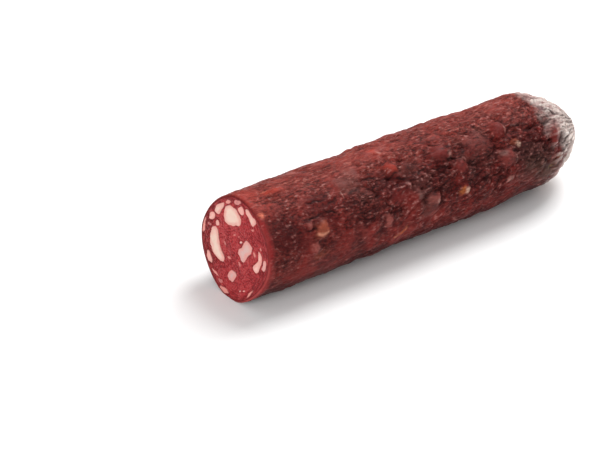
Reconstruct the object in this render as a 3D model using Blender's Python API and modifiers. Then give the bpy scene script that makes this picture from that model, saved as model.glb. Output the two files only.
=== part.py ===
"""A cured sausage: one solid stick, cut across at its near end and gathered into a pleated tip at its far end.

It lies along +X on a narrow flat of its underside. The cut is at the low X end, and leans back a little.
"""

import math

import bmesh
import bpy
import numpy as np

NAME = "sausage"
MM = 0.001

# Driving dimensions, in millimetres and degrees.
RADIUS = 24.0  # of the stick, so it is about 48 mm across
LENGTH = 196.0  # from the middle of the cut to the tip, before the tip is blunted
TIP_BLUNT = 3.0  # the last stretch, which is squeezed into a blunt tip
SINK = 0.3  # how far the round underside is pressed flat
CUT_LEAN_Y = -0.072  # the cut plane's slope across the stick
CUT_LEAN_Z = 0.175  # the cut plane's slope up the stick
CUT_FADE = 45.0  # the sheared length behind the cut
CUT_SQUARENESS = 0.45  # the cut's outline is slightly squarer than round

# The closed end: its length and fullness on the upper side and on the lower side.
END_UPPER = (37.4, 1.7, 1.5)
END_LOWER = (67.8, 3.28, 1.5)
END_TURN = 18.7  # the direction of the lower side, turned from straight down

PLEATS = 13
PLEAT_DEPTH = 0.9

SEGMENTS = 64
BODY_RINGS = 54
END_RINGS = 18

# Broad swells and hollows, every SWELL_STEP along two opposite sides of the stick: the upper side and the lower side.
SWELL_START = 8.0
SWELL_STEP = 18.0
SWELL_LENGTH = 9.5
SWELL_TURN = 38.0
SWELLS = {
    53.0: (-0.28, -0.16, 0.14, 0.0, 1.0, 0.87, 0.92, -0.23, -0.25, 1.24),
    233.0: (-0.18, 0.3, 0.23, -0.23, -0.64, -0.51, -0.07, 0.2, -1.5, 0.92),
}

# Lumps of coarse meat and fat under the skin: place along the stick, place round it, height, half-length, half-width.
LUMPS = (
    (18.0, 96, 0.8, 6.5, 2.4),
    (31.5, 156, 1.2, 3.8, 3.4),
    (24.8, 148, 0.6, 2.2, 2.2),
    (26.2, 173, 0.8, 2.8, 2.6),
    (74.0, 89, 0.6, 5.2, 2.2),
    (76.7, 121, 1.4, 3.6, 3.2),
    (83.5, 124, 0.8, 2.6, 2.4),
    (103.9, 123, 2.0, 5.4, 3.6),
    (110.8, 144, 1.6, 3.2, 3.2),
    (110.9, 171, 0.9, 2.8, 2.8),
    (73.2, 152, 0.8, 3.0, 3.0),
    (84.5, 158, 1.0, 3.0, 3.0),
    (93.8, 169, 1.2, 3.0, 3.0),
    (67.0, 172, 0.9, 2.6, 3.0),
    (74.5, 192, 0.5, 3.6, 2.2),
    (124.0, 128, 1.2, 7.0, 6.0),
    (138.6, 119, 1.8, 3.8, 3.6),
    (145.4, 142, 0.6, 2.4, 2.4),
    (137.5, 153, 1.7, 4.2, 4.0),
    (137.6, 177, 0.6, 2.8, 2.8),
    (168.4, 146, 1.9, 3.2, 4.6),
)
SCATTERED_LUMPS = 90
SEED = 7


def soft_step(t):
    t = np.clip(t, 0.0, 1.0)
    return t * t * (3.0 - 2.0 * t)


def scattered_lumps():
    """More lumps of the same kind, spread evenly over the whole skin."""
    rng = np.random.default_rng(SEED)
    lumps = []
    for i in range(SCATTERED_LUMPS):
        along = 5.0 + (LENGTH - 30.0) * ((i * 0.6180339887) % 1.0)
        around = 360.0 * ((i * 0.7548776662) % 1.0) + rng.uniform(-12, 12)
        size = rng.uniform(2.2, 3.8)
        lumps.append((along, around, rng.uniform(0.25, 0.95), size * rng.uniform(1.0, 1.7), size))
    return lumps


def turn_between(a, b):
    """The signed angle from b to a, in degrees, from -180 to 180."""
    return (a - b + 180.0) % 360.0 - 180.0


def skin(stage, angle, detail=True):
    """The skin's point for a stage along the stick (0 to 1 the body, 1 to 2 the closed end) and an angle round it."""
    deg = np.degrees(angle)
    upper = soft_step(0.5 + 0.5 * np.sin(angle - math.radians(END_TURN)))
    length, nose, full = (low + (high - low) * upper for low, high in zip(END_LOWER, END_UPPER))
    start = LENGTH - length
    theta = np.clip(stage - 1.0, 0.0, 1.0) * math.pi / 2
    x = np.where(stage <= 1.0, stage * start, start + length * np.abs(np.sin(theta)) ** (2 / nose))
    shrink = np.where(stage <= 1.0, 1.0, np.maximum(np.cos(theta), 0.0) ** (2 / full))
    radius = RADIUS * shrink

    relief = CUT_SQUARENESS * np.cos(np.radians(4 * (deg + 5))) * soft_step(1 - x / CUT_FADE)
    relief = relief + 0.25 * np.sin(2 * angle + x / 31.0) + 0.18 * np.sin(3 * angle - x / 23.0)
    for around, heights in SWELLS.items():
        side = np.exp(-((turn_between(deg, around) / SWELL_TURN) ** 2))
        for i, height in enumerate(heights):
            along = SWELL_START + i * SWELL_STEP
            relief = relief + height * side * np.exp(-(((x - along) / SWELL_LENGTH) ** 2))
    if detail:
        for along, around, height, long, wide in list(LUMPS) + scattered_lumps():
            across = np.radians(turn_between(deg, around)) * RADIUS
            relief = relief + height * np.exp(-(((x - along) / long) ** 2) - (across / wide) ** 2)
    pleat = np.abs(np.sin(0.5 * PLEATS * angle + 0.9 * np.sin(2 * angle) + 0.4 * stage))
    gather = soft_step((stage - 1.30) / 0.45)
    relief = relief * (1 - soft_step((stage - 1.6) / 0.4))
    radius = radius + relief * np.minimum(radius / 12.0, 1.0)
    radius = radius - gather * np.minimum(PLEAT_DEPTH, 0.16 * radius) * (1 - pleat) ** 1.5

    y = radius * np.cos(angle)
    z = RADIUS + radius * np.sin(angle)
    past = np.maximum(x - (LENGTH - TIP_BLUNT), 0.0)
    x = x - past + 2.0 * (1 - np.exp(-past / 2.0))
    x = x + (CUT_LEAN_Y * y + CUT_LEAN_Z * (z - RADIUS)) * soft_step(1 - x / CUT_FADE)
    return x, y, np.maximum(z - SINK, 0.0)


def clear_scene():
    for item in list(bpy.data.objects):
        bpy.data.objects.remove(item, do_unlink=True)


def turned_blank():
    """A plain turned rod: its height is the stage along the stick, from 0 at the cut to 2 at the tip."""
    stages = [i / BODY_RINGS for i in range(BODY_RINGS + 1)]
    stages += [1.0 + i / END_RINGS for i in range(1, END_RINGS + 1)]
    mesh = bpy.data.meshes.new("blank")
    points = []
    for stage in reversed(stages):
        width = 1.0 if stage <= 1.0 else math.cos((stage - 1.0) * math.pi / 2)
        points.append((0.1 * width if stage < 2.0 else 0.0, 0.0, 0.1 * stage))
    mesh.from_pydata(points, [(i, i + 1) for i in range(len(points) - 1)], [])
    blank = bpy.data.objects.new("blank", mesh)
    bpy.context.scene.collection.objects.link(blank)
    screw = blank.modifiers.new("turn", "SCREW")
    screw.axis = "Z"
    screw.angle = 2 * math.pi
    screw.steps = SEGMENTS
    screw.render_steps = SEGMENTS
    screw.use_merge_vertices = True
    screw.merge_threshold = 0.00001
    bpy.context.view_layer.update()
    graph = bpy.context.evaluated_depsgraph_get()
    turned = bpy.data.meshes.new_from_object(blank.evaluated_get(graph))
    bpy.data.objects.remove(blank, do_unlink=True)
    return turned


def shape_skin(mesh):
    """Moves each point of the turned rod to its place on the skin, then closes the cut with one flat face."""
    bm = bmesh.new()
    bm.from_mesh(mesh)
    bmesh.ops.remove_doubles(bm, verts=bm.verts, dist=0.00001)
    blank = np.array([vert.co[:] for vert in bm.verts])
    stage = blank[:, 2] / 0.1
    angle = np.arctan2(blank[:, 1], blank[:, 0])
    points = np.stack(skin(stage, angle), axis=1) * MM
    middle = (points.min(axis=0) + points.max(axis=0)) / 2
    points[:, :2] -= middle[:2]
    for vert, place in zip(bm.verts, points):
        vert.co = place
    bmesh.ops.holes_fill(bm, edges=[edge for edge in bm.edges if edge.is_boundary], sides=0)
    bmesh.ops.recalc_face_normals(bm, faces=bm.faces)
    bm.to_mesh(mesh)
    bm.free()


def cured_meat():
    material = bpy.data.materials.new("cured_meat")
    material.use_nodes = True
    shader = next(node for node in material.node_tree.nodes if node.type == "BSDF_PRINCIPLED")
    shader.inputs["Base Color"].default_value = (0.115, 0.022, 0.019, 1.0)
    shader.inputs["Roughness"].default_value = 0.5
    shader.inputs["Metallic"].default_value = 0.0
    return material


def main():
    clear_scene()
    collection = bpy.data.collections.new("cured_sausage")
    bpy.context.scene.collection.children.link(collection)
    mesh = turned_blank()
    shape_skin(mesh)
    mesh.name = NAME
    mesh.materials.clear()
    mesh.materials.append(cured_meat())
    mesh.shade_smooth()
    mesh.set_sharp_from_angle(angle=math.radians(50))
    collection.objects.link(bpy.data.objects.new(NAME, mesh))


main()
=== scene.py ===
"""The looks of a cured sausage: a wrinkled, lumpy skin with a pleated pale end, and a cut face of red meat and fat."""

import math

import bpy
import numpy as np
from mathutils import Matrix, Vector


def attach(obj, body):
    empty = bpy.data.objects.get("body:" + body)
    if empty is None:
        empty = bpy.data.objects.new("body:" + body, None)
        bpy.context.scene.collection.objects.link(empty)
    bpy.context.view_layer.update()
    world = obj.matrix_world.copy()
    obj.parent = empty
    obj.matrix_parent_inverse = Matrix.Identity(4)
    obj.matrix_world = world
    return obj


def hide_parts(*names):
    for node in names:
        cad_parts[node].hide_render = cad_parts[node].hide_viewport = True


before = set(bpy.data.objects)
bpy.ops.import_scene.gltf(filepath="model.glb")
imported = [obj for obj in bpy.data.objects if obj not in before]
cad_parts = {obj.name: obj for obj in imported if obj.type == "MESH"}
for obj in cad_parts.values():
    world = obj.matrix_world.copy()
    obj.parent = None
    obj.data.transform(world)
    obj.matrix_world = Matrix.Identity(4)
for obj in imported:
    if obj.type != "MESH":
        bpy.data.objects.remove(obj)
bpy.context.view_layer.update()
MM = 0.001

# ---------------------------------------------------------------- the stick's shape, as in the CAD part, in millimetres
RADIUS = 24.0
LENGTH = 196.0
TIP_BLUNT = 3.0
SINK = 0.3
CUT_LEAN_Y = -0.072
CUT_LEAN_Z = 0.175
CUT_FADE = 45.0
CUT_SQUARENESS = 0.45
END_UPPER = (37.4, 1.7, 1.5)
END_LOWER = (67.8, 3.28, 1.5)
END_TURN = 18.7
PLEATS = 13
PLEAT_DEPTH = 0.9
CAD_SEGMENTS = 64
CAD_BODY_RINGS = 54
CAD_END_RINGS = 18
SWELL_START = 8.0
SWELL_STEP = 18.0
SWELL_LENGTH = 9.5
SWELL_TURN = 38.0
SWELLS = {
    53.0: (-0.28, -0.16, 0.14, 0.0, 1.0, 0.87, 0.92, -0.23, -0.25, 1.24),
    233.0: (-0.18, 0.3, 0.23, -0.23, -0.64, -0.51, -0.07, 0.2, -1.5, 0.92),
}

# Lumps under the skin: place along, place round (degrees), height, half-length, half-width.
LUMPS = (
    (18.0, 96, 0.8, 6.5, 2.4),
    (31.5, 156, 1.2, 3.8, 3.4),
    (24.8, 148, 0.6, 2.2, 2.2),
    (26.2, 173, 0.8, 2.8, 2.6),
    (74.0, 89, 0.6, 5.2, 2.2),
    (76.7, 121, 1.4, 3.6, 3.2),
    (83.5, 124, 0.8, 2.6, 2.4),
    (103.9, 123, 2.0, 5.4, 3.6),
    (110.8, 144, 1.6, 3.2, 3.2),
    (110.9, 171, 0.9, 2.8, 2.8),
    (73.2, 152, 0.8, 3.0, 3.0),
    (84.5, 158, 1.0, 3.0, 3.0),
    (93.8, 169, 1.2, 3.0, 3.0),
    (67.0, 172, 0.9, 2.6, 3.0),
    (74.5, 192, 0.5, 3.6, 2.2),
    (124.0, 128, 1.2, 7.0, 6.0),
    (138.6, 119, 1.8, 3.8, 3.6),
    (145.4, 142, 0.6, 2.4, 2.4),
    (137.5, 153, 1.7, 4.2, 4.0),
    (137.6, 177, 0.6, 2.8, 2.8),
    (168.4, 146, 1.9, 3.2, 4.6),
)
SCATTERED_LUMPS = 90
SEED = 7


def soft_step(t):
    t = np.clip(t, 0.0, 1.0)
    return t * t * (3.0 - 2.0 * t)


def turn_between(a, b):
    return (a - b + 180.0) % 360.0 - 180.0


def scattered_lumps():
    rng = np.random.default_rng(SEED)
    lumps = []
    for i in range(SCATTERED_LUMPS):
        along = 5.0 + (LENGTH - 30.0) * ((i * 0.6180339887) % 1.0)
        around = 360.0 * ((i * 0.7548776662) % 1.0) + rng.uniform(-12, 12)
        size = rng.uniform(2.2, 3.8)
        lumps.append((along, around, rng.uniform(0.25, 0.95), size * rng.uniform(1.0, 1.7), size))
    return lumps


def skin(stage, angle, inset=0.0, extra=0.0):
    """The skin's point, its distance along the stick and its radius, as the CAD part has it, plus extra relief."""
    deg = np.degrees(angle)
    upper = soft_step(0.5 + 0.5 * np.sin(angle - math.radians(END_TURN)))
    length, nose, full = (low + (high - low) * upper for low, high in zip(END_LOWER, END_UPPER))
    start = LENGTH - length
    theta = np.clip(stage - 1.0, 0.0, 1.0) * math.pi / 2
    x = np.where(stage <= 1.0, stage * start, start + length * np.abs(np.sin(theta)) ** (2 / nose))
    shrink = np.where(stage <= 1.0, 1.0, np.maximum(np.cos(theta), 0.0) ** (2 / full))
    radius = RADIUS * shrink

    relief = CUT_SQUARENESS * np.cos(np.radians(4 * (deg + 5))) * soft_step(1 - x / CUT_FADE)
    relief = relief + 0.25 * np.sin(2 * angle + x / 31.0) + 0.18 * np.sin(3 * angle - x / 23.0)
    for around, heights in SWELLS.items():
        side = np.exp(-((turn_between(deg, around) / SWELL_TURN) ** 2))
        for i, height in enumerate(heights):
            along = SWELL_START + i * SWELL_STEP
            relief = relief + height * side * np.exp(-(((x - along) / SWELL_LENGTH) ** 2))
    for lump in list(LUMPS) + scattered_lumps():
        along, around, height, long, wide = lump
        across = np.radians(turn_between(deg, around)) * RADIUS
        relief = relief + height * np.exp(-(((x - along) / long) ** 2) - (across / wide) ** 2)
    pleat = np.abs(np.sin(0.5 * PLEATS * angle + 0.9 * np.sin(2 * angle) + 0.4 * stage))
    gather = soft_step((stage - 1.30) / 0.45)
    relief = relief * (1 - soft_step((stage - 1.6) / 0.4))
    radius = radius + relief * np.minimum(radius / 12.0, 1.0)
    radius = radius - gather * np.minimum(PLEAT_DEPTH, 0.16 * radius) * (1 - pleat) ** 1.5
    along_stick = x
    radius = radius + extra * np.minimum(radius / 10.0, 1.0) - inset

    y = radius * np.cos(angle)
    z = RADIUS + radius * np.sin(angle)
    past = np.maximum(x - (LENGTH - TIP_BLUNT), 0.0)
    x = x - past + 2.0 * (1 - np.exp(-past / 2.0))
    x = x + (CUT_LEAN_Y * y + CUT_LEAN_Z * (z - RADIUS)) * soft_step(1 - x / CUT_FADE)
    return np.stack([x, y, np.maximum(z - SINK, 0.0)], axis=-1), along_stick, radius


def cad_middle():
    """The middle of the CAD part's footprint, in the coordinates of skin()."""
    stages = np.array(
        [i / CAD_BODY_RINGS for i in range(CAD_BODY_RINGS + 1)]
        + [1.0 + i / CAD_END_RINGS for i in range(1, CAD_END_RINGS + 1)]
    )[:, None]
    angles = (np.arange(CAD_SEGMENTS) * 2 * math.pi / CAD_SEGMENTS)[None, :]
    points, _, _ = skin(stages + 0 * angles, angles + 0 * stages)
    flat = points.reshape(-1, 3)
    return (flat.min(axis=0) + flat.max(axis=0)) / 2 * np.array([1.0, 1.0, 0.0])


MIDDLE = cad_middle()


# ---------------------------------------------------------------- seeded noise on a grid
def band_noise(seed, shape, spacing, waves, band=0.45):
    """Smooth noise on a grid that repeats, with a wavelength of its own in each direction, and a spread of 1."""
    rng = np.random.default_rng(seed)
    spectrum = np.fft.fft2(rng.standard_normal(shape))
    fu = np.fft.fftfreq(shape[0], spacing[0])[:, None] * waves[0]
    fv = np.fft.fftfreq(shape[1], spacing[1])[None, :] * waves[1]
    spectrum *= np.exp(-(((np.hypot(fu, fv) - 1) / band) ** 2))
    spectrum[0, 0] = 0
    field = np.real(np.fft.ifft2(spectrum))
    return field / field.std()


def low_noise(seed, shape, spacing, wave):
    """Cloudy noise with nothing finer than a wavelength."""
    rng = np.random.default_rng(seed)
    spectrum = np.fft.fft2(rng.standard_normal(shape))
    fu = np.fft.fftfreq(shape[0], spacing[0])[:, None] * wave
    fv = np.fft.fftfreq(shape[1], spacing[1])[None, :] * wave
    spectrum *= np.exp(-(fu**2 + fv**2))
    spectrum[0, 0] = 0
    field = np.real(np.fft.ifft2(spectrum))
    return field / field.std()


def polar_noise(seed, angle, distance, waves):
    """Noise in arcs round the middle: wavelengths along the arc and outwards, in millimetres."""
    shape = (256, 128)
    field = band_noise(seed, shape, (2 * math.pi * 18.0 / shape[0], 0.25), waves)
    i = (angle / (2 * math.pi)) % 1.0 * shape[0]
    j = distance / 0.25
    i0, j0 = np.floor(i).astype(int), np.floor(j).astype(int)
    fi, fj = i - i0, j - j0
    a = field[i0 % shape[0], j0 % shape[1]] * (1 - fi) + field[(i0 + 1) % shape[0], j0 % shape[1]] * fi
    b = field[i0 % shape[0], (j0 + 1) % shape[1]] * (1 - fi) + field[(i0 + 1) % shape[0], (j0 + 1) % shape[1]] * fi
    return a * (1 - fj) + b * fj


# ---------------------------------------------------------------- meshes
def grid_faces(rows, columns, wrap):
    i = np.arange(rows - 1)[:, None]
    j = np.arange(columns if wrap else columns - 1)[None, :]
    a = i * columns + j
    b = i * columns + (j + 1) % columns
    return np.stack([a, b, b + columns, a + columns], axis=-1).reshape(-1, 4)


def make_mesh(name, points, faces):
    """Makes an object of quads and triangles; points are in millimetres, in the coordinates of skin()."""
    mesh = bpy.data.meshes.new(name)
    mesh.from_pydata(((points - MIDDLE) * MM).tolist(), [], [list(face) for face in faces])
    mesh.validate()
    mesh.shade_smooth()
    piece = bpy.data.objects.new(name, mesh)
    bpy.context.scene.collection.objects.link(piece)
    return piece


def add_float(mesh, name, values):
    layer = mesh.attributes.new(name, "FLOAT", "POINT")
    layer.data.foreach_set("value", np.ascontiguousarray(values, dtype=np.float32).ravel())


def add_colour(mesh, name, values):
    layer = mesh.attributes.new(name, "FLOAT_COLOR", "POINT")
    rgba = np.concatenate([values, np.ones((len(values), 1))], axis=1)
    layer.data.foreach_set("color", np.ascontiguousarray(rgba, dtype=np.float32).ravel())


# ---------------------------------------------------------------- the skin
SKIN_AROUND = 276
SKIN_BODY = 236
SKIN_END = 104
RIM = 1.3  # how much of the cut's edge belongs to the skin
# The edge of the cut, from inside the stick out over a rounded rim: how far in from the skin, and how far behind the cut.
RIM_ROWS = ((RIM, 3.0), (RIM, 1.2), (RIM, 0.06), (1.05, -0.02), (0.75, 0.0), (0.45, 0.10), (0.22, 0.28), (0.08, 0.52), (0.0, 0.85))

# Colours that show through the skin. 'glow' is painted light, and 'edge' is mostly a painted highlight on the lit end
# of a lump.
TINTS = {
    "ember": (0.36, 0.040, 0.024),
    "glow": (0.75, 0.20, 0.12),
    "red": (0.190, 0.026, 0.022),
    "wine": (0.150, 0.023, 0.021),
    "rose": (0.31, 0.085, 0.070),
    "rust": (0.30, 0.070, 0.036),
    "orange": (0.44, 0.105, 0.045),
    "amber": (0.42, 0.115, 0.030),
    "cream": (0.66, 0.40, 0.30),
    "lip": (0.60, 0.24, 0.15),
    "edge": (0.52, 0.26, 0.22),
    "ash": (0.20, 0.115, 0.100),
    "purple": (0.19, 0.040, 0.095),
    "olive": (0.060, 0.040, 0.026),
    "straw": (0.31, 0.19, 0.085),
}
# Spots of colour: place along, place round, half-length, half-width, direction, bend, tint, strength.
SPOTS = (
    # The 'glow' spots are painted highlights, and the 'edge' spots at the ends of lumps are painted highlights on their
    # lit side.
    (15.5, 95.5, 6.2, 2.1, 12, 0.0, "ember", 0.85),
    (12.9, 89.5, 2.0, 0.7, 0, 0.0, "glow", 0.45),
    (24.3, 147.5, 1.8, 1.8, 0, 0.0, "rose", 0.75),
    (31.2, 155.0, 4.2, 3.6, 0, 0.0, "rust", 0.75),
    (30.6, 158.3, 3.4, 0.75, 5, -1.1, "lip", 0.90),
    (25.8, 171.5, 2.3, 2.3, 0, 0.0, "rose", 0.70),
    (29.0, 181.0, 4.5, 2.6, 0, 0.0, "rust", 0.35),
    (74.2, 88.0, 4.8, 1.3, 50, 0.0, "ember", 0.75),
    (77.0, 94.5, 1.4, 0.7, 30, 0.0, "edge", 0.45),
    (76.0, 120.5, 3.6, 2.6, 10, 0.0, "ember", 0.72),
    (78.6, 122.0, 1.3, 2.2, 0, 0.0, "ember", 0.55),
    (81.3, 121.5, 1.0, 0.8, 0, 0.0, "edge", 0.75),
    (66.8, 172.0, 1.8, 3.1, 0, 0.0, "rose", 0.75),
    (74.6, 194.0, 4.4, 1.15, -27, 0.0, "orange", 0.85),
    (71.6, 197.5, 1.4, 0.8, -27, 0.0, "lip", 0.55),
    (41.3, 122.5, 2.3, 0.45, 95, 0.5, "edge", 0.60),
    (47.4, 127.5, 2.4, 0.45, 85, 0.5, "edge", 0.60),
    (103.5, 123.5, 5.4, 3.3, 25, 0.0, "wine", 0.85),
    (107.8, 127.0, 1.5, 2.6, 0, 0.0, "edge", 0.55),
    (110.3, 144.5, 2.6, 2.7, 0, 0.0, "red", 0.70),
    (108.7, 169.5, 2.4, 2.1, 0, 0.0, "amber", 0.85),
    (112.0, 171.7, 1.5, 1.6, 0, 0.0, "cream", 0.95),
    (93.2, 168.5, 2.8, 2.3, 0, 0.0, "rose", 0.70),
    (94.9, 170.8, 0.8, 1.2, 0, 0.0, "edge", 0.80),
    (85.3, 158.5, 2.5, 2.3, 0, 0.0, "ash", 0.60),
    (138.3, 119.5, 2.9, 2.8, 0, 0.0, "wine", 0.80),
    (141.2, 121.0, 2.5, 0.55, 88, 0.9, "edge", 0.80),
    (143.6, 138.5, 1.8, 1.5, 0, 0.0, "rust", 0.70),
    (145.3, 143.0, 1.4, 1.3, 0, 0.0, "cream", 0.85),
    (137.2, 154.0, 4.4, 3.8, 0, 0.0, "red", 0.55),
    (142.2, 157.5, 2.4, 0.6, 90, 0.8, "edge", 0.60),
    (136.0, 146.5, 2.0, 1.3, 0, 0.0, "ash", 0.60),
    (137.5, 177.0, 1.9, 1.2, 0, 0.0, "edge", 0.60),
    (121.5, 161.0, 3.0, 2.6, 0, 0.0, "wine", 0.60),
    (167.2, 145.5, 2.6, 4.2, 0, 0.0, "red", 0.68),
    (171.6, 145.5, 1.9, 3.0, 0, 0.0, "edge", 0.75),
    (169.1, 110.5, 1.7, 1.3, 20, 0.0, "purple", 0.80),
    (164.5, 189.0, 9.0, 6.0, 0, 0.0, "olive", 0.60),
    (155.0, 172.0, 8.0, 5.0, 0, 0.0, "olive", 0.45),
    (163.9, 185.5, 1.3, 0.9, 0, 0.0, "straw", 0.60),
    (169.6, 175.0, 1.7, 0.9, -30, 0.0, "straw", 0.60),
    (2.6, 119.0, 1.8, 1.6, 0, 0.0, "glow", 0.85),
)
HIDDEN_SPOTS = 34  # more of the same, on the sides that the photo does not show

# Open cracks in the skin: place along, place round, half-length, direction (degrees from the stick's axis), depth.
CRACKS = (
    (33.0, 125, 5.5, 8, 0.45),
    (41.5, 131, 3.5, -18, 0.40),
    (29.0, 141, 5.5, -6, 0.45),
    (38.5, 141, 4.0, 24, 0.40),
    (25.0, 152, 3.5, 5, 0.30),
    (55.0, 128, 4.0, -12, 0.30),
    (64.0, 121, 3.6, 12, 0.35),
    (74.5, 128, 4.2, -8, 0.40),
    (79.0, 134, 3.4, 14, 0.35),
    (91.0, 133, 4.0, -20, 0.35),
    (100.0, 138, 4.0, 6, 0.40),
    (108.0, 132, 3.8, 10, 0.35),
    (120.0, 142, 4.2, -10, 0.35),
    (131.0, 137, 3.6, 8, 0.40),
    (150.0, 122, 5.0, 4, 0.35),
    (155.0, 131, 4.0, -6, 0.35),
    (174.5, 116.5, 5.2, 22, 0.75),
    (183.0, 122.5, 7.0, 10, 0.70),
    (180.0, 158.0, 7.0, -18, 0.40),
    (178.0, 171.0, 7.0, -8, 0.40),
)


def skin_detail(stage, angle, x, radius):
    """The fine relief of the skin and the masks that colour it, on the grid of the skin."""
    shape = stage.shape
    deg = np.degrees(angle) % 360
    spacing = (0.56, 2 * math.pi * RADIUS / shape[1])

    patches = low_noise(11, shape, spacing, 26.0)
    small_patches = low_noise(12, shape, spacing, 9.0)
    side = np.exp(-((turn_between(deg, 148) / 50) ** 2))
    far = soft_step((x - 60) / 70)
    rough = np.clip(0.30 + 0.62 * side + 0.30 * far + 0.22 * patches + 0.16 * small_patches, 0.12, 1.15)
    rough = rough * (0.5 + 0.5 * soft_step((x - 1.0) / 4.0))
    under = np.exp(-((turn_between(deg, 270) / 34) ** 2))
    low_side = np.exp(-((turn_between(deg, 205) / 30) ** 2))
    rough = rough * (1 - 0.45 * under) * (1 - 0.40 * low_side)

    wobble = low_noise(13, shape, spacing, 4.0) * 0.16
    lump_mask = np.zeros(shape)
    for along, around, height, long, wide in list(LUMPS) + scattered_lumps():
        across = np.radians(turn_between(deg, around)) * RADIUS
        near = np.hypot((x - along) / long, across / wide) + wobble
        lump_mask = np.maximum(lump_mask, soft_step((1.35 - near) / 0.8) * min(1.0, height))

    rng = np.random.default_rng(SEED + 1)
    spots = list(SPOTS)
    for i in range(HIDDEN_SPOTS):
        along = 6.0 + 166.0 * ((i * 0.6180339887 + 0.17) % 1.0)
        around = 216.0 + 204.0 * ((i * 0.7548776662 + 0.41) % 1.0)
        size = rng.uniform(1.2, 3.2)
        name = ("red", "rose", "rust", "wine", "ember", "orange", "red", "edge", "cream")[i % 9]
        if name in ("edge", "cream"):
            size = rng.uniform(0.8, 1.5)
        spots.append((along, around, size * rng.uniform(1.0, 1.9), size, rng.uniform(-30, 30), 0.0, name, rng.uniform(0.5, 0.9)))
    tint = np.zeros(shape + (3,))
    tint_weight = np.zeros(shape)
    ragged_edge = wobble + 0.10 * band_noise(14, shape, spacing, (2.2, 1.3))
    for along, around, long, wide, direction, bend, name, strength in spots:
        dx = x - along
        dy = np.radians(turn_between(deg, around)) * np.maximum(radius, 4.0)
        c, s = math.cos(math.radians(direction)), math.sin(math.radians(direction))
        u = (dx * c + dy * s) / long
        v = (-dx * s + dy * c) / wide + bend * (1 - np.clip(u * u, 0, 1.5))
        near = np.hypot(u, v) + ragged_edge
        weight = soft_step((1.35 - near) / 1.0) * strength
        # later spots lie over earlier ones
        tint = tint * (1 - weight)[..., None] + np.array(TINTS[name]) * weight[..., None]
        tint_weight = 1 - (1 - tint_weight) * (1 - weight)
    tint = tint / np.maximum(tint_weight, 1e-4)[..., None]

    creases = band_noise(21, shape, spacing, (6.0, 2.2))
    creases_fine = band_noise(22, shape, spacing, (3.0, 1.45))
    crepe = band_noise(23, shape, spacing, (1.7, 1.25))
    crossing = band_noise(24, shape, spacing, (2.0, 4.0))
    billow = np.minimum(np.abs(creases), 1.6) - 0.75
    billow_fine = np.minimum(np.abs(creases_fine), 1.6) - 0.75
    knobs = np.minimum(np.abs(band_noise(26, shape, spacing, (13.0, 10.0))), 1.5) - 0.75
    knobs_small = np.minimum(np.abs(band_noise(27, shape, spacing, (6.5, 5.5))), 1.5) - 0.75
    knobby = soft_step((x - 45) / 25) * np.exp(-((turn_between(deg, 140) / 75) ** 2)) + 0.25
    relief = rough * (1 - 0.80 * lump_mask) * (0.20 * billow + 0.17 * billow_fine + 0.07 * crepe)
    relief += knobby * (1 - 0.90 * lump_mask) * (0.70 * knobs + 0.42 * knobs_small)
    relief += rough * far * 0.13 * (np.minimum(np.abs(crossing), 1.5) - 0.75) * (1 - lump_mask)
    relief += 0.10 * low_noise(25, shape, spacing, 6.0) * (1 - 0.5 * lump_mask)
    for along, around, height, long, wide in LUMPS:
        across = np.radians(turn_between(deg, around)) * RADIUS
        near = np.hypot((x - along) / long, across / wide) + 0.6 * wobble
        relief += height * (0.50 * np.exp(-((near / 0.95) ** 4)) - 0.30 * np.exp(-(((near - 1.5) / 0.38) ** 2)))
    valleys = 0.8 * knobby * np.exp(-(((knobs + 0.75) / 0.16) ** 2)) + np.exp(-((creases / 0.30) ** 2)) + 0.75 * np.exp(-((creases_fine / 0.34) ** 2))

    cracked = np.zeros(shape)
    rng = np.random.default_rng(SEED + 2)
    cracks = list(CRACKS)
    for i in range(70):
        cracks.append(
            (
                4 + 165 * ((i * 0.6180339887 + 0.3) % 1.0),
                (i * 222.5 + rng.uniform(-10, 10)) % 360,
                rng.uniform(1.5, 4.0),
                rng.uniform(-28, 28),
                rng.uniform(0.12, 0.32),
            )
        )
    for along, around, half, direction, depth in cracks:
        dx = x - along
        dy = np.radians(turn_between(deg, around)) * np.maximum(radius, 4.0)
        c, s = math.cos(math.radians(direction)), math.sin(math.radians(direction))
        u = dx * c + dy * s
        v = -dx * s + dy * c + 0.35 * np.sin(u * 1.1 + along) + 0.2 * wobble
        line = np.exp(-((v / 0.42) ** 2)) * np.exp(-((u / half) ** 4))
        relief -= depth * line
        cracked = np.maximum(cracked, line * min(1.0, depth / 0.35))

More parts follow.
